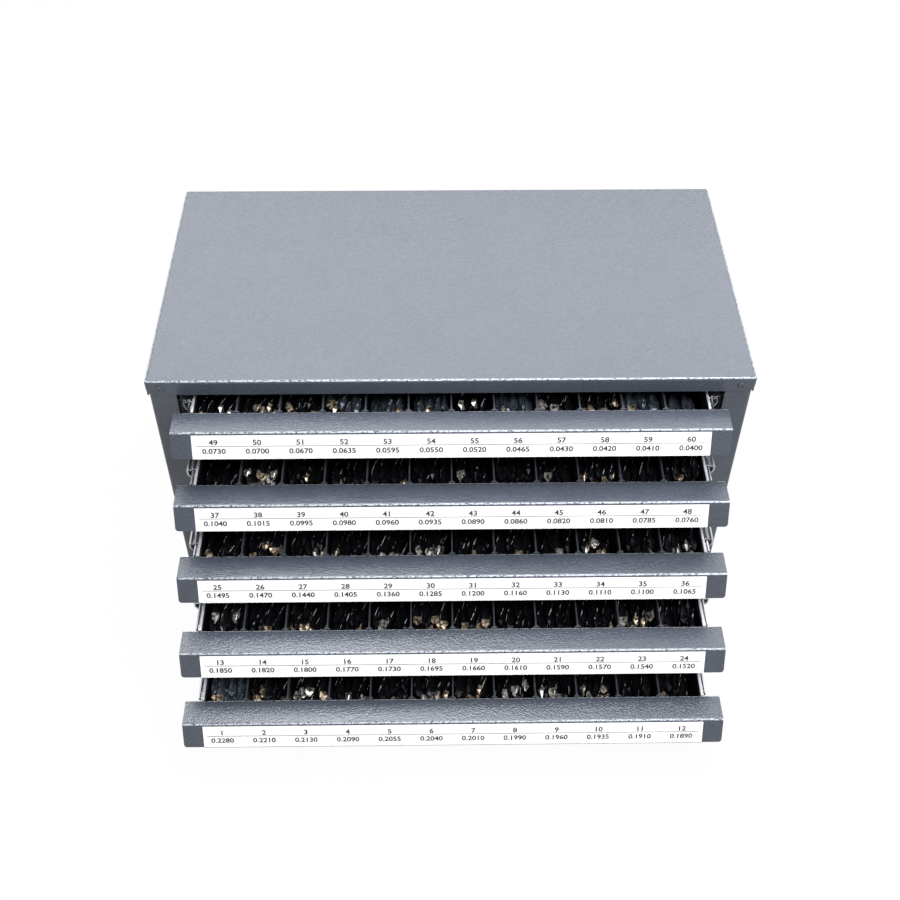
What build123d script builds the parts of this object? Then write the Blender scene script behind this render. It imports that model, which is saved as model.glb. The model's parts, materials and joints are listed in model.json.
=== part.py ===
"""Drill bit drawer case: a sheet steel case with five telescopic drawers of twelve compartments.

X runs across the case, Y from the front to the back and Z up, in millimetres. The origin is the
middle of the base. The drawers are modelled staggered open, as the case is shown.
"""
import os

from build123d import *

# Case
cover_width = 368.0
cover_depth = 195.0
case_height = 204.0
case_sheet = 1.0
bend_radius = 1.8
skirt_depth = 13.0
skirt_clearance = 0.5
cover_flange = 10.6
base_flange = 5.0
flange_corner = 6.5
corner_relief = 1.5
front_flange = 16.2
rear_flange = 14.0

# Drawers
drawer_count = 5
top_drawer_drop = 18.65
drawer_gap = 2.85
base_clearance = 1.45
drawer_pulls = [6.65, 32.55, 59.35, 89.5, 117.0]

# Drawer front
front_overlap = 1.7
front_sheet = 1.0
lip_depth = 17.6
lip_lean = 6.65
lip_drop = 15.7
lip_corner = 2.0
label_thickness = 0.3
label_side_margin = 12.5
label_top_margin = 1.7

# Tray
tray_rear_space = 13.0
tray_sheet = 0.8
hem_height = 3.2
hem_rounding = 0.55
compartment_count = 12
divider_thickness = 0.9
divider_flare = 1.5
flare_edge = 0.3
flare_bow = 0.29

# Telescopic slides: half heights from the slide's centre, reaches from the tray's wall
slide_sheet = 0.9
slide_clearance = 0.13
running_gap = 0.35
slide_centre_drop = 14.0
inner_reach = 3.6
inner_lip = 1.7
inner_lip_lean = 0.4
inner_set_back = 4.0
inner_end_space = 8.0
middle_half_height = 11.0
middle_reach = 7.7
middle_web = 4.7
race_width = 5.4
race_height = 7.9
race_round = 0.9
race_dent = 1.3
race_dent_set_in = 2.0
middle_shortening = 17.0
middle_fronts = [6.2, -17.0, -46.5, -65.5, -87.0]
outer_rib = 0.9
outer_lip = 5.9
outer_set_back = 6.0
outer_rear_space = 15.0

# Slide posts
post_sheet = 1.0
post_face = 14.0
post_foot = 8.0
front_post_set_back = 10.0
rear_post_set_back = 148.0

# Rivets, with few sides because they are small and many
rivet_sides = 16
rivet_head_radius = 2.8
rivet_head_height = 0.7
rivet_head_chamfer = 0.4
rivet_shank_radius = 1.5
rivet_hole_clearance = 0.1
rivet_dimple_radius = 0.7
rivet_dimple_depth = 0.5
front_rivet_set_in = 8.5
rear_rivet_set_in = 9.0
rivet_drop = 6.3
back_rivet_rows = 2

# Places worked out from the sizes above
front_y = -cover_depth / 2
rear_y = cover_depth / 2
panel_front_y = front_y + case_sheet
panel_rear_y = rear_y - case_sheet
case_half = cover_width / 2 - case_sheet - skirt_clearance
inside_bottom = case_sheet
inside_top = case_height - case_sheet
opening_half = case_half - front_flange
inner_half_height = middle_half_height - slide_sheet - running_gap
outer_half_height = middle_half_height + running_gap + slide_sheet
outer_reach = middle_reach + running_gap + slide_sheet
tray_wall_x = opening_half - slide_clearance - outer_reach
tray_half = tray_wall_x - tray_sheet
compartment_pitch = 2 * tray_half / compartment_count
drawers_height = case_height - top_drawer_drop - base_flange - base_clearance
drawer_pitch = (drawers_height + drawer_gap) / drawer_count
tray_height = drawer_pitch - drawer_gap
tray_length = cover_depth - tray_rear_space
inner_length = tray_length - inner_set_back - inner_end_space
middle_length = tray_length - middle_shortening
outer_length = cover_depth - outer_set_back - outer_rear_space
front_width = 2 * (opening_half + front_overlap)


def box_between(low, high):
    """A box from its low corner to its high corner."""
    size = [b - a for a, b in zip(low, high)]
    middle = [(a + b) / 2 for a, b in zip(low, high)]
    return Pos(*middle) * Box(*size)


def both_sides(shape):
    """The shape and its mirror image across the case, as separate solids."""
    return Compound(children=[shape, mirror(shape, Plane.YZ)])


def bent_profile(points, sheet):
    """A face as thick as the sheet, centred on a bent line."""
    return trace(Polyline(*points), line_width=sheet)


def drawer_top(index):
    return case_height - top_drawer_drop - index * drawer_pitch


def drawer_rear_edge(index):
    """Y of the front wall's inner face, where the lip starts."""
    return front_y - drawer_pulls[index]


# Case shell

def pan(height, front_height):
    """An upside-down pan with its flat face at Z = 0 and its skirts hanging below it."""
    outside = box_between((-cover_width / 2, front_y, -height), (cover_width / 2, rear_y, 0))
    rim = outside.edges().group_by(Axis.Z)[-1]
    uprights = outside.edges().filter_by(Axis.Z)
    outside = fillet(rim + uprights, bend_radius)
    hollow = box_between(
        (-cover_width / 2 + case_sheet, panel_front_y, -height - case_sheet),
        (cover_width / 2 - case_sheet, panel_rear_y, -case_sheet),
    )
    below_flange = box_between(
        (-cover_width / 2, front_y, -height),
        (cover_width / 2, panel_front_y + corner_relief, -front_height),
    )
    shell = outside - hollow - below_flange
    return shell - both_sides(skirt_relief(height)) - both_sides(flange_rounding(front_height))


def skirt_relief(height):
    """The notch that frees the front flange from a side skirt."""
    return box_between(
        (cover_width / 2 - bend_radius, panel_front_y, -height),
        (cover_width / 2 + case_sheet, panel_front_y + corner_relief, -2 * bend_radius),
    )


def flange_rounding(front_height):
    """What is cut from the front flange to round its lower outer corner."""
    radius = min(flange_corner, front_height - bend_radius)
    corner_x = cover_width / 2 - radius
    corner_z = -front_height + radius
    outer = box_between(
        (corner_x, front_y - 1, corner_z - radius - 1),
        (corner_x + radius + 1, panel_front_y, corner_z),
    )
    keep = Pos(corner_x, front_y, corner_z) * Rot(90, 0, 0) * Cylinder(radius, 4 * case_sheet)
    return outer - keep


def rivet_places():
    """Each rivet's X, Y, Z and the way that its head faces along Y."""
    top_z = case_height - rivet_drop
    front_x = cover_width / 2 - front_rivet_set_in
    rear_x = cover_width / 2 - rear_rivet_set_in
    back_spacing = case_height / (back_rivet_rows + 1)
    places = []
    for side in (-1, 1):
        places.append((side * front_x, front_y, top_z, -1))
        places += [(side * rear_x, rear_y, z, 1) for z in (rivet_drop, top_z)]
        rows = [(row + 1) * back_spacing for row in range(back_rivet_rows)]
        places += [(side * rear_x, panel_rear_y, z, 1) for z in rows]
    return places


def rivet_disc(radius, depth):
    return extrude(RegularPolygon(radius, rivet_sides), depth)


def make_rivets():
    rivets = []
    for x, y, z, facing in rivet_places():
        sheets = 3 if y == rear_y else 2
        grip = sheets * case_sheet
        head = rivet_disc(rivet_head_radius, rivet_head_height)
        head = chamfer(head.edges().group_by(Axis.Z)[-1], rivet_head_chamfer)
        shank = rivet_disc(rivet_shank_radius, -grip)
        dimple = Pos(0, 0, rivet_head_height) * rivet_disc(rivet_dimple_radius, -rivet_dimple_depth)
        rivets.append(Pos(x, y, z) * Rot(-90 * facing, 0, 0) * (head + shank - dimple))
    return Compound(children=rivets)


def drill_for_rivets(shape):
    """The shape with a hole along Y wherever a rivet passes through it."""
    hole = rivet_disc(rivet_shank_radius + rivet_hole_clearance, 8 * case_sheet)
    drill = Rot(90, 0, 0) * Pos(0, 0, -4 * case_sheet) * hole
    for x, y, z, _ in rivet_places():
        shape -= Pos(x, y, z) * drill
    return shape


def make_top_cover():
    return drill_for_rivets(Pos(0, 0, case_height) * pan(skirt_depth, cover_flange))


def make_base_pan():
    return drill_for_rivets(mirror(pan(skirt_depth, base_flange), Plane.XY))


def make_side_panel():
    """The right side panel: front flange, side and rear flange bent from one sheet."""
    outline = [
        (opening_half, panel_front_y + case_sheet / 2),
        (case_half - case_sheet / 2, panel_front_y + case_sheet / 2),
        (case_half - case_sheet / 2, panel_rear_y - case_sheet / 2),
        (case_half - rear_flange, panel_rear_y - case_sheet / 2),
    ]
    profile = bent_profile(outline, case_sheet)
    profile = fillet(profile.vertices().group_by(Axis.X)[-1], bend_radius)
    return drill_for_rivets(Pos(0, 0, inside_bottom) * extrude(profile, inside_top - inside_bottom))


def make_back_panel():
    half = case_half - case_sheet
    front_face = panel_rear_y - 2 * case_sheet
    back = box_between((-half, front_face, inside_bottom), (half, front_face + case_sheet, inside_top))
    return drill_for_rivets(back)


def make_post(set_back):
    """A hat-section post between the side panel and the outer slide members."""
    inner_x = tray_wall_x + outer_reach
    wall_x = case_half - case_sheet
    start = front_y + set_back
    half = post_sheet / 2
    outline = [
        (wall_x - half, start - post_foot),
        (wall_x - half, start + half),
        (inner_x + half, start + half),
        (inner_x + half, start + post_face - half),
        (wall_x - half, start + post_face - half),
        (wall_x - half, start + post_face + post_foot),
    ]
    profile = bent_profile(outline, post_sheet)
    return Pos(0, 0, inside_bottom) * extrude(profile, inside_top - inside_bottom)


# Slides: profiles are drawn with the tray wall at X = 0 and the slide's centre at Y = 0

def slide_member(half_profile, length):
    """A member rolled from one strip, symmetric about its centre, running back from Y = 0."""
    lower = [(x, -z) for x, z in reversed(half_profile)]
    profile = bent_profile(half_profile + lower, slide_sheet)
    return extrude(Plane.XZ * profile, -length)


def inner_member():
    """A channel with a lip turned outward above and below, which leaves a track between lip and tray."""
    half = slide_sheet / 2
    top = inner_half_height - half
    track = top - inner_lip
    lip = [(inner_reach, top), (inner_reach - inner_lip_lean, track), (half, track)]
    return slide_member(lip, inner_length)


def middle_member():
    """A web with a rounded race above and below, each dented along its crown."""
    top = middle_half_height - slide_sheet / 2
    edge = middle_reach - slide_sheet / 2
    dent = edge - race_dent_set_in
    race = [
        (edge - race_width, top - race_round / 3),
        (dent - 1.4 * race_dent, top),
        (dent, top - race_dent),
        (edge - race_round, top - race_round / 3),
        (edge, top - 1.5 * race_round),
        (edge, top - 0.6 * race_height),
        (edge - 1.6 * race_round, top - 0.9 * race_height),
        (middle_web, top - race_height),
    ]
    return slide_member(race, middle_length)


def outer_member():
    """A channel whose lips have a rib that runs in the middle member's dent."""
    top = outer_half_height - slide_sheet / 2
    web = outer_reach - slide_sheet / 2
    rib = middle_reach - slide_sheet / 2 - race_dent_set_in
    lip = [
        (web - outer_lip, top),
        (rib - 1.4 * outer_rib, top),
        (rib, top - outer_rib),
        (rib + outer_rib, top),
        (web, top),
    ]
    return slide_member(lip, outer_length)


def place_slide(member, index, start_y):
    centre_z = drawer_top(index) - slide_centre_drop
    return both_sides(Pos(tray_wall_x, start_y, centre_z) * member)


# Drawers, drawn with the front wall's inner face at Y = 0 and the top edge at Z = 0

def make_front():
    """Front wall, flat lip and leaning face, bent from one sheet."""
    outline = [(0, -tray_height), (0, 0), (-lip_depth, 0), (-lip_depth - lip_lean, -lip_drop)]
    path = FilletPolyline(*outline, radius=bend_radius)
    profile = make_face(offset(path, front_sheet, side=Side.LEFT, closed=True).edges())
    front = extrude(Plane.YZ * profile, front_width / 2, both=True)
    return fillet(front.edges().filter_by(is_lip_corner), lip_corner)


def is_lip_corner(edge):
    """True for the two short edges at the ends of the leaning face's lower edge."""
    centre = edge.center()
    at_end = abs(abs(centre.X) - front_width / 2) < 0.01
    at_bottom = centre.Y < -lip_depth - 0.8 * lip_lean + front_sheet
    return at_end and at_bottom and edge.length < 1.5 * front_sheet


def make_label():
    """The printed strip, lying on the leaning face."""
    face_length = (lip_lean**2 + lip_drop**2) ** 0.5
    along = Vector(0, -lip_lean, -lip_drop).normalized()
    outward = Vector(0, -lip_drop, lip_lean).normalized()
    height = face_length - label_top_margin
    centre = Vector(0, -lip_depth, 0) + along * (label_top_margin + height / 2)
    face = Plane(origin=centre, x_dir=Vector(1, 0, 0), z_dir=outward)
    strip = extrude(Rectangle(front_width - 2 * label_side_margin, height), label_thickness)
    return face * strip


def make_tray():
    """Bottom, two sides and back, with the top edge folded outward into a hem."""
    wall = tray_half + tray_sheet
    hem = wall + tray_sheet
    length = tray_length
    shell = box_between((-wall, 0, -tray_height), (wall, length, 0))
    band = box_between((-hem, 0, -hem_height), (hem, length + tray_sheet, 0))
    floor_z = tray_sheet - tray_height
    inside = box_between((-tray_half, -1, floor_z), (tray_half, length - tray_sheet, 1))
    tray = shell + band - inside
    top_edges = tray.edges().group_by(Axis.Z)[-1]
    return fillet([edge for edge in top_edges if edge.length > hem_height], hem_rounding)


def make_divider():
    """A plate whose ends flare into the front wall and the tray's back."""
    length = tray_length - tray_sheet
    half = divider_thickness / 2
    wide = half + divider_flare
    bow = flare_bow * divider_flare
    foot = flare_edge + divider_flare
    near_end = [(wide, 0), (wide, flare_edge), (half + bow, flare_edge + bow), (half, foot)]
    right = near_end + [(x, length - y) for x, y in reversed(near_end)]
    left = [(-x, y) for x, y in reversed(right)]
    plan = make_face(Polyline(*right, *left, close=True))
    return Pos(0, 0, tray_sheet - tray_height) * extrude(plan, tray_height - tray_sheet)


def make_dividers():
    divider = make_divider()
    first = -(compartment_count - 2) / 2 * compartment_pitch
    places = [first + i * compartment_pitch for i in range(compartment_count - 1)]
    return Compound(children=[Pos(x, 0, 0) * divider for x in places])


def in_drawer(shape, index):
    return Pos(0, drawer_rear_edge(index), drawer_top(index)) * shape


def build_nodes():
    side = make_side_panel()
    nodes = {
        "top_cover": make_top_cover(),
        "base_pan": make_base_pan(),
        "side_panel_right": side,
        "side_panel_left": mirror(side, Plane.YZ),
        "back_panel": make_back_panel(),
        "slide_posts_front": both_sides(make_post(front_post_set_back)),
        "slide_posts_rear": both_sides(make_post(rear_post_set_back)),
        "case_rivets": make_rivets(),
    }
    front, label, tray, dividers = make_front(), make_label(), make_tray(), make_dividers()
    inner, middle, outer = inner_member(), middle_member(), outer_member()
    for index in range(drawer_count):
        drawer = f"drawer_{index + 1}"
        nodes[f"{drawer}_front"] = in_drawer(front, index)
        nodes[f"{drawer}_label"] = in_drawer(label, index)
        nodes[f"{drawer}_tray"] = in_drawer(tray, index)
        nodes[f"{drawer}_dividers"] = in_drawer(dividers, index)
        inner_y = drawer_rear_edge(index) + inner_set_back
        nodes[f"{drawer}_inner_slides"] = place_slide(inner, index, inner_y)
        nodes[f"{drawer}_middle_slides"] = place_slide(middle, index, front_y + middle_fronts[index])
        nodes[f"{drawer}_outer_slides"] = place_slide(outer, index, front_y + outer_set_back)
    return nodes


os.makedirs("parts", exist_ok=True)
for name, shape in build_nodes().items():
    export_step(shape, f"parts/{name}.step")
    print(name, len(shape.solids()), "solids")
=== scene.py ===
# Drill bit drawer case: finishes, printed labels and the stock of drill bits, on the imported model
import json
import math
import random

import bpy
from mathutils import Matrix, Vector


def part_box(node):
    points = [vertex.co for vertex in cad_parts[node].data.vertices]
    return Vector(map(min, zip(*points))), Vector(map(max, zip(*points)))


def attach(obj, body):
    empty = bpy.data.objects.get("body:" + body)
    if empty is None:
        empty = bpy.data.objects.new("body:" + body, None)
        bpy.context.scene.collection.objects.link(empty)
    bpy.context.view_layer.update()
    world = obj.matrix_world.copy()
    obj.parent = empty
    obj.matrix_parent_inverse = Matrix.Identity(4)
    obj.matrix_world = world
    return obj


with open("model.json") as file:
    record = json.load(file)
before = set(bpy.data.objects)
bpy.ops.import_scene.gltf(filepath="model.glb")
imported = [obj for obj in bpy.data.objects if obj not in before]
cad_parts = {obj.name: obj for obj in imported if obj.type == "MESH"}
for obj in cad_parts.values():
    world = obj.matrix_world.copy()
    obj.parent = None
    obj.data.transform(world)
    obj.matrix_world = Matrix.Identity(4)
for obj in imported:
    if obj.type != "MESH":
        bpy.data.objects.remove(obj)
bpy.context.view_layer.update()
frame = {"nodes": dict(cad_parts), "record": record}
nodes = frame["nodes"]
drawers = [f"drawer_{number}" for number in range(1, 6)]    # from the top down
mm = 0.001
print("frame loaded,", len(nodes), "nodes")

# Camera, placed by fitting the case's corners to the photograph; millimetres and degrees
view = dict(place=(-10.07, -640.99, 721.98), down=46.8, turn=-0.99, roll=0.29, lens=50.12, sensor=36,
            nearest=10)


def addCamera():
    bpy.ops.object.camera_add()
    camera = bpy.context.object
    camera.name = "photoCamera"
    turn = Matrix.Rotation(math.radians(view["turn"]), 4, "Z")
    tilt = Matrix.Rotation(math.radians(90 - view["down"]), 4, "X")
    roll = Matrix.Rotation(math.radians(view["roll"]), 4, "Z")
    camera.matrix_world = Matrix.Translation(Vector(view["place"]) * mm) @ turn @ tilt @ roll
    camera.data.lens = view["lens"]
    camera.data.sensor_width = view["sensor"]
    camera.data.clip_start = view["nearest"] * mm
    bpy.context.scene.camera = camera


addCamera()
print("camera placed")


# A Wire is one shader value; maths on wires adds Math nodes to its finish
class Wire:
    def __init__(self, finish, socket):
        self.finish = finish
        self.socket = socket

    def maths(self, operation, *values):
        return self.finish.add("ShaderNodeMath", dict(operation=operation), dict(enumerate(values)))

    def __add__(self, other):
        return self.maths("ADD", self, other)

    def __sub__(self, other):
        return self.maths("SUBTRACT", self, other)

    def __rsub__(self, other):
        return self.maths("SUBTRACT", other, self)

    def __mul__(self, other):
        return self.maths("MULTIPLY", self, other)

    __radd__ = __add__
    __rmul__ = __mul__


# A Finish fills the node tree of a material or of the world
class Finish:
    def __init__(self, owner):
        self.owner = owner
        owner.use_nodes = True
        self.tree = owner.node_tree
        self.tree.nodes.clear()

    def add(self, kind, settings, inputs, output=0):
        node = self.tree.nodes.new(kind)
        for key, value in settings.items():
            setattr(node, key, value)
        for key, value in inputs.items():
            if isinstance(value, Wire):
                self.tree.links.new(value.socket, node.inputs[key])
            else:
                node.inputs[key].default_value = value
        if node.outputs:
            return Wire(self, node.outputs[output])

    def objectCoords(self):
        return self.add("ShaderNodeTexCoord", {}, {}, "Object")

    def heightOf(self, coords):
        return self.add("ShaderNodeSeparateXYZ", {}, {"Vector": coords}, "Z")

    def noise(self, coords, size, detail=2.0):
        inputs = {"Vector": coords, "Scale": 1 / (size * mm), "Detail": detail}
        return self.add("ShaderNodeTexNoise", {}, inputs, "Fac")

    def bump(self, height, depth, strength=1.0):
        inputs = {"Height": height, "Distance": depth * mm, "Strength": strength}
        return self.add("ShaderNodeBump", {}, inputs)

    def blend(self, factor, first, second):
        ends = [end if isinstance(end, Wire) else (*end, 1) for end in (first, second)]
        inputs = {0: factor, 6: ends[0], 7: ends[1]}
        return self.add("ShaderNodeMix", dict(data_type="RGBA"), inputs, 2)

    def close(self, inputs):
        shader = self.add("ShaderNodeBsdfPrincipled", {}, inputs)
        self.add("ShaderNodeOutputMaterial", {}, {"Surface": shader})
        return self.owner


def newFinish(name):
    return Finish(bpy.data.materials.new(name))


# Hammertone enamel: fine wrinkles, longer along the case than across it, over a slow drift of tone.
# Here and below, the sizes of patterns and the depths of bumps are in millimetres
paint = dict(dark=(0.028, 0.034, 0.047), light=(0.080, 0.091, 0.118), tint=(0.94, 0.965, 1.0), ior=1.5,
             roughness=0.21, uneven=0.08, wrinkle=1.1, peel=0.55, stretch=0.6, drift=30.0,
             driftTone=0.3, wrinkleTone=0.7, wrinkleHeight=0.75, peelHeight=0.25, depth=0.16)


def addPaint(finish, coords):
    flow = finish.add("ShaderNodeMapping", {}, {"Vector": coords, "Scale": (paint["stretch"], 1, 1)})
    drift = finish.noise(coords, paint["drift"])
    wrinkles = finish.noise(flow, paint["wrinkle"], 1.0)
    peel = finish.noise(flow, paint["peel"], 1.0)
    tone = drift * paint["driftTone"] + wrinkles * paint["wrinkleTone"]
    colour = finish.blend(tone, paint["dark"], paint["light"])
    roughness = paint["roughness"] + (drift - 0.5) * paint["uneven"]
    height = wrinkles * paint["wrinkleHeight"] + peel * paint["peelHeight"]
    return colour, roughness, height


def closePaint(finish, colour, roughness, height):
    return finish.close({
        "Base Color": colour,
        "Roughness": roughness,
        "Normal": finish.bump(height, paint["depth"]),
        "IOR": paint["ior"],
        "Specular Tint": (*paint["tint"], 1),
    })


def makePaint():
    finish = newFinish("hammertonePaint")
    return closePaint(finish, *addPaint(finish, finish.objectCoords()))


# The cover and the drawers' fronts get a painted highlight, a light colour in broken lines along their
# bends, which lie between start and end below the piece's top; the lines break where the wrinkles are lower
# than cut
bendHighlight = dict(start=0.1, end=0.68, highlightColour=(0.42, 0.45, 0.50), cut=0.37, part=6)


def makeHighlitPaint(node):
    finish = newFinish(f"{node}Paint")
    coords = finish.objectCoords()
    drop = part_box(node)[1].z - finish.heightOf(coords)
    started = drop.maths("GREATER_THAN", drop, bendHighlight["start"] * mm)
    bend = started * drop.maths("LESS_THAN", drop, bendHighlight["end"] * mm)
    colour, roughness, height = addPaint(finish, coords)
    # painted highlight: the band along the bend is blended towards a light colour
    highlightBand = bend * (height - bendHighlight["cut"]) * bendHighlight["part"]
    return closePaint(finish, finish.blend(highlightBand, colour, bendHighlight["highlightColour"]), roughness, height)


# Inside the drawers the paint is darkened with depth below the rim as painted shade, and a band along its
# upper edges is lighter, a painted highlight on the tray's hem; every drawer has its rim one pitch below the
# last one's, so one finish does for all
well = dict(paintedShade=(0.003, 0.003, 0.004), start=1.0, fade=5.0, above=0.1, dull=0.2,
            tray=dict(edge=0.75, bandColour=(0.85, 0.87, 0.92), metallic=0.25, shine=0.3),
            dividers=dict(edge=0.15, bandColour=(0.09, 0.10, 0.125), metallic=0.3, shine=0.4))


def makeWell(piece):
    look = well[piece]
    finish = newFinish(f"{piece}Paint")
    coords = finish.objectCoords()
    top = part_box(f"drawer_1_{piece}")[1].z
    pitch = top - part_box(f"drawer_2_{piece}")[1].z
    below = top + well["above"] * mm - finish.heightOf(coords)
    below = below.maths("MODULO", below, pitch)
    # the band along each rim: a painted highlight on the tray's hem; on the dividers it keeps about the
    # paint's own colour
    highlightBand = below.maths("LESS_THAN", below, look["edge"] * mm)
    colour, roughness, bumps = addPaint(finish, coords)
    # painted shade: below start the paint darkens to near black over fade
    shaded = finish.blend((below - well["start"] * mm) * (1 / (well["fade"] * mm)), colour, well["paintedShade"])
    shine = look["shine"] - paint["roughness"] - well["dull"]
    return finish.close({
        "Base Color": finish.blend(highlightBand, shaded, look["bandColour"]),
        "Metallic": highlightBand * look["metallic"],
        "Roughness": roughness + well["dull"] + highlightBand * shine,
        "Normal": finish.bump(bumps * (1 - highlightBand), paint["depth"]),
        "IOR": paint["ior"],
    })


# Bright zinc plate on the slides, with the rolling marks along their length
zinc = dict(dull=(0.50, 0.51, 0.53), bright=(0.74, 0.75, 0.77), metallic=0.95, roughness=0.24, uneven=0.12,
            bloom=14.0, grain=0.35, detail=3.0, stretch=0.03, depth=0.01, strength=0.5)


def makeZinc():
    finish = newFinish("zincPlate")
    coords = finish.objectCoords()
    along = finish.add("ShaderNodeMapping", {}, {"Vector": coords, "Scale": (1.0, zinc["stretch"], 1.0)})
    grain = finish.noise(along, zinc["grain"], zinc["detail"])
    bloom = finish.noise(coords, zinc["bloom"])
    return finish.close({
        "Base Color": finish.blend(bloom, zinc["dull"], zinc["bright"]),
        "Metallic": zinc["metallic"],
        "Roughness": zinc["roughness"] + grain * zinc["uneven"],
        "Normal": finish.bump(grain, zinc["depth"], zinc["strength"]),
    })


# Printed strip: white vinyl, slightly uneven where it is stuck down
strip = dict(shade=(0.88, 0.88, 0.90), white=(0.93, 0.93, 0.94), roughness=0.38, uneven=0.06,
             wave=9.0, depth=0.03, strength=0.4)


def makeStrip():
    finish = newFinish("labelStrip")
    wave = finish.noise(finish.objectCoords(), strip["wave"])
    return finish.close({
        "Base Color": finish.blend(wave, strip["shade"], strip["white"]),
        "Roughness": strip["roughness"] + wave * strip["uneven"],
        "Normal": finish.bump(wave, strip["depth"], strip["strength"]),
    })


# Printing ink, black for the figures and grey for the rules, each from a dark to a light shade
ink = dict(speckle=0.25, roughness=0.5, uneven=0.1,
           printInk=((0.008, 0.008, 0.010), (0.016, 0.016, 0.018)),
           ruleInk=((0.04, 0.04, 0.045), (0.07, 0.07, 0.075)))


def makeInk(name):
    finish = newFinish(name)
    speckle = finish.noise(finish.objectCoords(), ink["speckle"])
    return finish.close({
        "Base Color": finish.blend(speckle, *ink[name]),
        "Roughness": ink["roughness"] + speckle * ink["uneven"],
    })


# Metals of the drill bits: a light patch starts where the noise passes cut, and a high part makes its
# edge sharp. All share the marks of grinding
grind = dict(size=0.3, detail=3.0, uneven=0.15, depth=0.01, strength=0.5)
bitMetals = dict(
    oxide=dict(dark=(0.004, 0.004, 0.006), light=(0.022, 0.024, 0.030), metallic=0.6, roughness=0.24,
               patch=2.2, cut=0.3, part=2),
    gunmetal=dict(dark=(0.04, 0.05, 0.07), light=(0.20, 0.24, 0.30), metallic=0.6, roughness=0.3,
                  patch=2.2, cut=0.3, part=2),
    # The margins are bare ground steel, and their near-white broken streaks are also a painted highlight
    margin=dict(dark=(0.015, 0.015, 0.016), light=(0.95, 0.95, 0.95), metallic=0.2, roughness=0.25,
                patch=4.5, cut=0.5, part=9),
    steel=dict(dark=(0.07, 0.065, 0.06), light=(1.0, 0.96, 0.90), metallic=0.8, roughness=0.3,
               patch=2.2, cut=0.38, part=6),
    bronze=dict(dark=(0.05, 0.035, 0.025), light=(0.95, 0.76, 0.56), metallic=0.75, roughness=0.32,
                patch=2.2, cut=0.38, part=5),
)
metalOrder = list(bitMetals)


def makeBitMetal(name, look):
    finish = newFinish(f"bit_{name}")
    coords = finish.objectCoords()
    patches = (finish.noise(coords, look["patch"]) - look["cut"]) * look["part"]
    marks = finish.noise(coords, grind["size"], grind["detail"])
    return finish.close({
        "Base Color": finish.blend(patches, look["dark"], look["light"]),
        "Metallic": look["metallic"],
        "Roughness": look["roughness"] + marks * grind["uneven"],
        "Normal": finish.bump(marks, grind["depth"], grind["strength"]),
    })


finishes = dict(hammertone_paint=makePaint(), slide_steel=makeZinc(), label_stock=makeStrip())
wells = dict(tray=makeWell("tray"), dividers=makeWell("dividers"))
bentSheets = ["top_cover"] + [f"{drawer}_front" for drawer in drawers]
printInk = makeInk("printInk")
ruleInk = makeInk("ruleInk")
bitFinishes = [makeBitMetal(name, look) for name, look in bitMetals.items()]

for part in frame["record"]["subparts"]:
    surface = nodes[part["node"]].data
    surface.materials.clear()
    kind = part["node"].split("_")[-1]
    if kind in wells:
        surface.materials.append(wells[kind])
    elif part["node"] in bentSheets:
        surface.materials.append(makeHighlitPaint(part["node"]))
    else:
        surface.materials.append(finishes[part["material_slot"]])
print("finishes made and given to the frame's nodes")


def deselectAll():
    bpy.ops.object.select_all(action="DESELECT")


def joinPieces(pieces, name):
    deselectAll()
    for piece in pieces:
        piece.select_set(True)
    bpy.context.view_layer.objects.active = pieces[0]
    if len(pieces) > 1:
        bpy.ops.object.join()
    joined = bpy.context.view_layer.objects.active
    joined.name = name
    joined.data.name = name
    return joined


# Label print, in millimetres: gauge numbers over a rule, with the decimal inches below it. The strip's
# top lies lean behind its foot and drop above it; figureShare is a figure's height at text size 1
label = dict(lean=6.65, drop=15.7, thickness=0.3, pitch=26.0, shifts=(0.6, -0.4, -0.5, -0.3, -0.7),
             lift=0.03, numberDown=4.7, ruleDown=7.0, decimalDown=10.4, numberHeight=3.3,
             decimalHeight=3.2, wide=1.12, weight=0.12, ruleInset=2.6, ruleWidth=0.36, edgeWidth=0.3,
             figureShare=0.69, curveSteps=3)
columns = 12
# Wire gauge sizes 1 to 60, in ten thousandths of an inch
gauges = [
    2280, 2210, 2130, 2090, 2055, 2040, 2010, 1990, 1960, 1935, 1910, 1890,
    1850, 1820, 1800, 1770, 1730, 1695, 1660, 1610, 1590, 1570, 1540, 1520,
    1495, 1470, 1440, 1405, 1360, 1285, 1200, 1160, 1130, 1110, 1100, 1065,
    1040, 1015, 995, 980, 960, 935, 890, 860, 820, 810, 785, 760,
    730, 700, 670, 635, 595, 550, 520, 465, 430, 420, 410, 400,
]


def labelPlane(drawer):
    low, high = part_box(f"{drawer}_label")
    length = math.hypot(label["lean"], label["drop"])
    up = Vector((0, label["lean"], label["drop"])) / length
    out = Vector((0, -label["drop"], label["lean"])) / length
    top = Vector(((low.x + high.x) / 2, high.y, high.z)) + out * (label["lift"] * mm)
    top.y -= label["thickness"] * mm * label["drop"] / length
    across = Vector((1, 0, 0))
    turn = Matrix((across, up, out)).transposed().to_4x4()
    height = (high.z - low.z) * length / label["drop"]
    return Matrix.Translation(top) @ turn, high.x - low.x, height


def addPrint(text, x, y, height):
    deselectAll()
    bpy.ops.object.text_add()
    piece = bpy.context.object
    piece.data.body = text
    piece.data.align_x = "CENTER"
    piece.data.align_y = "CENTER"
    piece.data.size = height * mm / label["figureShare"]
    piece.data.offset = label["weight"] * mm
    piece.data.resolution_u = label["curveSteps"]
    bpy.ops.object.convert(target="MESH")
    piece = bpy.context.object
    widened = Matrix.Diagonal((label["wide"], 1, 1, 1))
    piece.data.transform(Matrix.Translation((x * mm, y * mm, 0)) @ widened)
    piece.data.materials.clear()
    piece.data.materials.append(printInk)
    return piece


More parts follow.
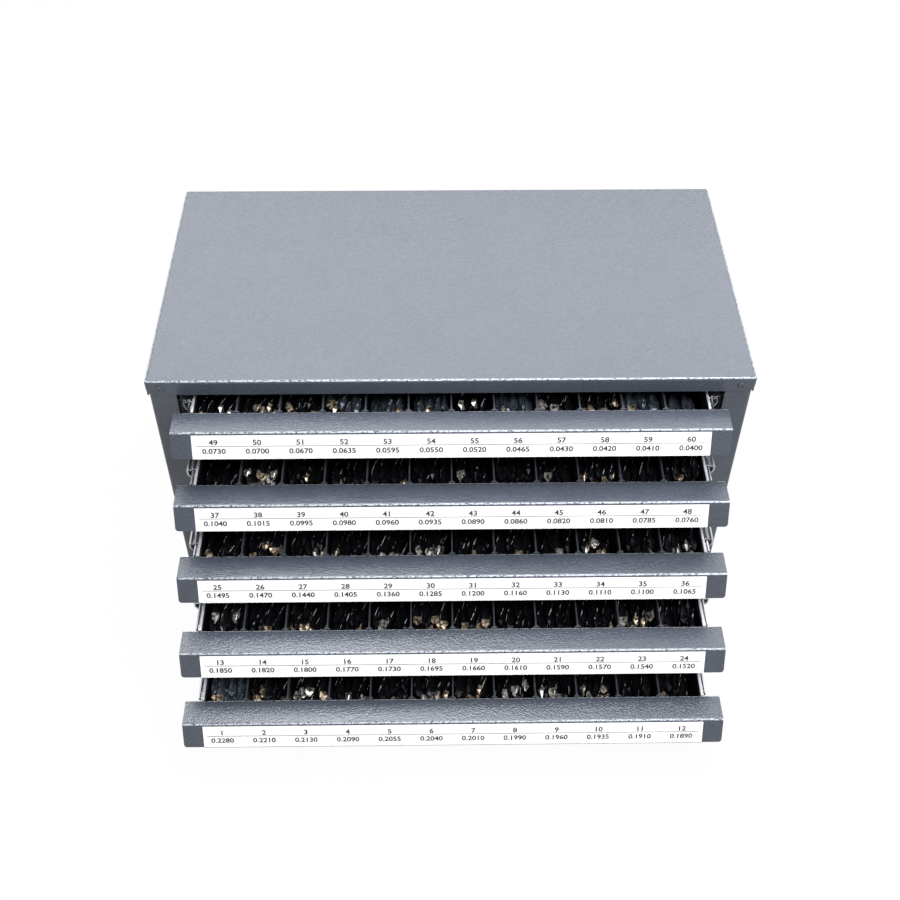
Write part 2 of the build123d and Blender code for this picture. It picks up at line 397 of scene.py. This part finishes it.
def addRule(length, y, thickness):
    deselectAll()
    bpy.ops.mesh.primitive_plane_add(size=1)
    piece = bpy.context.object
    size = Matrix.Diagonal((length, thickness * mm, 1, 1))
    piece.data.transform(Matrix.Translation((0, y * mm, 0)) @ size)
    piece.data.materials.append(ruleInk)
    return piece


def addLabelPrint(index, drawer):
    plane, width, height = labelPlane(drawer)
    first = columns * (len(drawers) - 1 - index)
    pieces = []
    for column in range(columns):
        gauge = first + column
        x = (column - (columns - 1) / 2) * label["pitch"] + label["shifts"][index]
        pieces.append(addPrint(str(gauge + 1), x, -label["numberDown"], label["numberHeight"]))
        decimal = f"0.{gauges[gauge]:04d}"
        pieces.append(addPrint(decimal, x, -label["decimalDown"], label["decimalHeight"]))
    pieces.append(addRule(width - 2 * label["ruleInset"] * mm, -label["ruleDown"], label["ruleWidth"]))
    if drawer == drawers[-1]:    # the lowest strip gets a dark line along its bottom edge
        pieces.append(addRule(width, 0.5 * label["edgeWidth"] - height / mm, label["edgeWidth"]))
    joined = joinPieces(pieces, f"{drawer}_label_print")
    joined.data.transform(plane)
    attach(joined, drawer)
    return joined


for index, drawer in enumerate(drawers):
    addLabelPrint(index, drawer)
print("labels printed")


# Drill bits, modelled at radius 1: a point, twisted flutes that run out, and a round shank. The
# section holds angles in degrees and reaches, and twist is in degrees for each radius of length
bit = dict(section=[(-12, 1), (0, 1), (45, 0.93), (90, 0.42), (168, 1), (180, 1), (225, 0.93), (270, 0.42)],
           steps=[1.2] + [2.3] * 10, twist=20.0, runOut=1.6, shank=12.0, shankRadius=0.98,
           marginWidth=0.4, levelSlack=0.01)
points = dict(blunt=dict(length=1.0, chisel=(0.20, 0.06)), long=dict(length=1.9, chisel=(0.12, 0.06)))


def shapeSection(mesh):
    for vertex, (degrees, reach) in zip(mesh.vertices, bit["section"]):
        angle = math.radians(degrees)
        vertex.co = (reach * math.cos(angle), reach * math.sin(angle), 0)


def pickLevel(mesh, z):
    bpy.ops.mesh.select_all(action="DESELECT")
    bpy.ops.object.mode_set(mode="OBJECT")
    for vertex in mesh.vertices:
        vertex.select = abs(vertex.co.z - z) < bit["levelSlack"]
    bpy.ops.object.mode_set(mode="EDIT")


def modelBit(point):
    deselectAll()
    bpy.ops.mesh.primitive_circle_add(vertices=len(bit["section"]), radius=1)
    piece = bpy.context.object
    mesh = piece.data
    shapeSection(mesh)
    bpy.ops.object.mode_set(mode="EDIT")
    bpy.ops.mesh.select_all(action="SELECT")
    z = 0
    for step in bit["steps"]:
        z += step
        bpy.ops.mesh.extrude_region_move(TRANSFORM_OT_translate={"value": (0, 0, step)})
        turn = math.radians(-bit["twist"] * step)
        bpy.ops.transform.rotate(value=turn, orient_axis="Z", center_override=(0, 0, z))
    bpy.ops.mesh.extrude_region_move(TRANSFORM_OT_translate={"value": (0, 0, bit["runOut"])})
    bpy.ops.object.mode_set(mode="OBJECT")
    for vertex in mesh.vertices:
        if vertex.co.z > z + 0.5 * bit["runOut"]:
            vertex.co.xy = vertex.co.xy.normalized() * bit["shankRadius"]
    bpy.ops.object.mode_set(mode="EDIT")
    bpy.ops.mesh.extrude_region_move(TRANSFORM_OT_translate={"value": (0, 0, bit["shank"])})
    bpy.ops.mesh.edge_face_add()
    pickLevel(mesh, 0)
    bpy.ops.mesh.extrude_region_move(TRANSFORM_OT_translate={"value": (0, 0, -point["length"])})
    bpy.ops.transform.resize(value=(*point["chisel"], 1), center_override=(0, 0, -point["length"]))
    bpy.ops.mesh.edge_face_add()
    bpy.ops.mesh.select_all(action="SELECT")
    bpy.ops.mesh.normals_make_consistent(inside=False)
    bpy.ops.object.mode_set(mode="OBJECT")
    for face in mesh.polygons:    # 0 is the body, 1 the margins and 2 the ground point
        ground = face.center.z < bit["steps"][0]
        face.material_index = 2 if ground else 1 if isMargin(face, z) else 0
    # The point looks to the drawer's front, which is -Y
    laid = Matrix.Rotation(math.radians(-90), 4, "X")
    mesh.transform(laid @ Matrix.Translation((0, 0, point["length"])))
    for finish in bitFinishes:
        mesh.materials.append(finish)
    return piece


# The margin is the narrow land along each flute's leading edge
def isMargin(face, fluted):
    return face.center.z < fluted and face.area < bit["marginWidth"] * bit["steps"][1]


bitModels = {name: modelBit(point) for name, point in points.items()}
bitLengths = {name: max(v.co.y for v in model.data.vertices) for name, model in bitModels.items()}
print("drill bits modelled,", len(bitModels["blunt"].data.polygons), "faces each")

# How the compartments are filled, in millimetres, or diameters for slender, sidePitch and layerPitch.
# A row of letters is a drawer, from left to right: tips bright, bronze, gunmetal, white and long, or dark
stock = dict(
    seed=61, diameters=(4.8, 6.3), slender=(16.5, 18.5), sidePitch=1.04, layerPitch=0.88,
    fill=(0.8, 1.0), headroom=1.2, missing=0.2, gap=0.35, tipSpace=(2.5, 10.0), lean=2.5, wobble=0.9,
    rise=0.5, trayWalls=3.2, dividerSide=0.6,
    rows=["bbogggbgwbgg", "bbdoodwdwodd", "dowdbwddwbdw", "wobdwbodddbd", "gobwdbowwbwd"],
    looks=dict(
        b=dict(body="oxide", tips=["steel", "steel", "bronze", "oxide"], point="blunt"),
        o=dict(body="oxide", tips=["bronze", "oxide", "oxide"], point="blunt"),
        g=dict(body="gunmetal", tips=["gunmetal", "gunmetal", "gunmetal", "bronze"], point="blunt"),
        w=dict(body="oxide", tips=["steel", "oxide", "oxide"], point="long"),
        d=dict(body="oxide", tips=["oxide"] * 7 + ["bronze"], point="blunt"),
    ),
)


def placeBit(look, tipMetal, radius, tip, end, roll):
    piece = bpy.data.objects.new("bit", bitModels[look["point"]].data.copy())
    bpy.context.scene.collection.objects.link(piece)
    line = end - tip
    turn = Vector((0, 1, 0)).rotation_difference(line.normalized()).to_matrix().to_4x4()
    size = Matrix.Diagonal((radius, line.length / bitLengths[look["point"]], radius, 1))
    piece.data.transform(Matrix.Translation(tip) @ turn @ size @ Matrix.Rotation(roll, 4, "Y"))
    metals = [metalOrder.index(name) for name in (look["body"], "margin", tipMetal)]
    for face in piece.data.polygons:
        face.material_index = metals[face.material_index]
    return piece


def fillCompartment(dice, look, centreX, halfWidth, frontY, floorZ, topZ):
    diameter = dice.uniform(*stock["diameters"]) * mm
    radius = diameter / 2
    side = halfWidth - radius - stock["gap"] * mm
    across = max(2, int(2 * side / (diameter * stock["sidePitch"])) + 1)
    fillHeight = (topZ - floorZ) * dice.uniform(*stock["fill"])
    layers = max(1, int((fillHeight - diameter) / (stock["layerPitch"] * diameter)) + 1)
    lean = dice.uniform(-1, 1) * stock["lean"] * mm
    length = diameter * dice.uniform(*stock["slender"])
    ceiling = topZ - radius - stock["headroom"] * mm
    placed = []
    for layer in range(layers):
        z = floorZ + radius + layer * stock["layerPitch"] * diameter
        count = across - layer % 2
        top = layer == layers - 1
        for slot in range(count):
            if top and dice.random() < stock["missing"]:
                continue
            x = (slot - (count - 1) / 2) * 2 * side / (across - 1)
            wobble = [dice.uniform(-1, 1) * stock["wobble"] * mm for _ in range(4)]
            tipX = min(side, max(-side, x + wobble[0] - lean))
            endX = min(side, max(-side, x + wobble[1] + lean))
            tipZ = min(ceiling, z + abs(wobble[2]) * stock["rise"])
            endZ = min(ceiling, z + abs(wobble[3]) * stock["rise"])
            tipY = frontY + dice.uniform(*stock["tipSpace"]) * mm
            tip = Vector((centreX + tipX, tipY, tipZ))
            end = Vector((centreX + endX, tipY + length, endZ))
            roll = dice.uniform(0, math.tau)
            placed.append(placeBit(look, dice.choice(look["tips"]), radius, tip, end, roll))
    return placed


def fillDrawer(index, drawer):
    dice = random.Random(stock["seed"] + index)
    row = stock["rows"][index]
    low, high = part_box(f"{drawer}_tray")
    floorZ, topZ = [corner.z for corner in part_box(f"{drawer}_dividers")]
    pitch = (high.x - low.x - stock["trayWalls"] * mm) / len(row)
    halfWidth = pitch / 2 - stock["dividerSide"] * mm
    placed = []
    for column, letter in enumerate(row):
        centreX = (low.x + high.x) / 2 + (column - (columns - 1) / 2) * pitch
        look = stock["looks"][letter]
        placed += fillCompartment(dice, look, centreX, halfWidth, low.y, floorZ, topZ)
    joined = joinPieces(placed, f"{drawer}_drill_bits")
    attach(joined, drawer)
    return joined


for index, drawer in enumerate(drawers):
    filled = fillDrawer(index, drawer)
    print(drawer, "filled,", len(filled.data.polygons), "faces")
for model in bitModels.values():
    bpy.data.objects.remove(model)


# Studio, in metres: a floor and a backdrop that look white to the camera and in reflections, but
# light the object only dimly
studio = dict(floorGrey=(0.6, 0.6, 0.6, 1), white=(1, 1, 1, 1), seenShare=0.97, floorSize=8, floorZ=-0.0005,
              dim=(0.9, 0.95, 1, 1), dimStrength=0.15)


def seenBackground(finish):
    seen = finish.add("ShaderNodeLightPath", {}, {}, "Is Camera Ray")
    for ray in ("Is Glossy Ray", "Is Transmission Ray"):
        seen = seen.maths("MAXIMUM", seen, finish.add("ShaderNodeLightPath", {}, {}, ray))
    return seen


def makeStage():
    finish = newFinish("studioWhite")
    plain = finish.add("ShaderNodeBsdfDiffuse", {}, {"Color": studio["floorGrey"]})
    white = finish.add("ShaderNodeEmission", {}, {"Color": studio["white"], "Strength": 1.0})
    seen = seenBackground(finish) * studio["seenShare"]    # the rest keeps the object's shadow
    mixed = finish.add("ShaderNodeMixShader", {}, {0: seen, 1: plain, 2: white})
    finish.add("ShaderNodeOutputMaterial", {}, {"Surface": mixed})
    return finish.owner


def addFloor():
    deselectAll()
    bpy.ops.mesh.primitive_plane_add(size=studio["floorSize"], location=(0, 0, studio["floorZ"]))
    floor = bpy.context.object
    floor.name = "studioFloor"
    floor.data.materials.append(makeStage())


def lightWorld():
    world = bpy.data.worlds.new("studioWorld")
    bpy.context.scene.world = world
    finish = Finish(world)
    dim = finish.add("ShaderNodeBackground", {}, {"Color": studio["dim"], "Strength": studio["dimStrength"]})
    white = finish.add("ShaderNodeBackground", {}, {"Color": studio["white"], "Strength": 1.0})
    mixed = finish.add("ShaderNodeMixShader", {}, {0: seenBackground(finish), 1: dim, 2: white})
    finish.add("ShaderNodeOutputWorld", {}, {"Surface": mixed})


# Soft lamps behind, overhead and in front, in metres and watts
lamps = dict(
    backSoftbox=dict(place=(0.1, 1.05, 1.28), aim=(0, 0.0, 0.2), size=(1.9, 0.9), power=20),
    topStrip=dict(place=(0.2, 0.22, 1.60), aim=(0, -0.1, 0.15), size=(1.6, 0.5), power=36),
    frontFill=dict(place=(0.25, -0.95, 1.55), aim=(0, -0.1, 0.1), size=(0.9, 0.4), power=21),
    rightKicker=dict(place=(0.95, -1.60, 0.60), aim=(0.05, -0.15, 0.1), size=(0.5, 0.25), power=5),
)


def addLamp(name, look):
    deselectAll()
    bpy.ops.object.light_add(type="AREA", location=look["place"])
    lamp = bpy.context.object
    lamp.name = name
    lamp.data.shape = "RECTANGLE"
    lamp.data.size = look["size"][0]
    lamp.data.size_y = look["size"][1]
    lamp.data.energy = look["power"]
    towards = Vector(look["aim"]) - Vector(look["place"])
    lamp.rotation_euler = towards.to_track_quat("-Z", "Y").to_euler()


addFloor()
lightWorld()
for name, look in lamps.items():
    addLamp(name, look)
bpy.context.scene.view_settings.view_transform = "Standard"
print("studio ready")
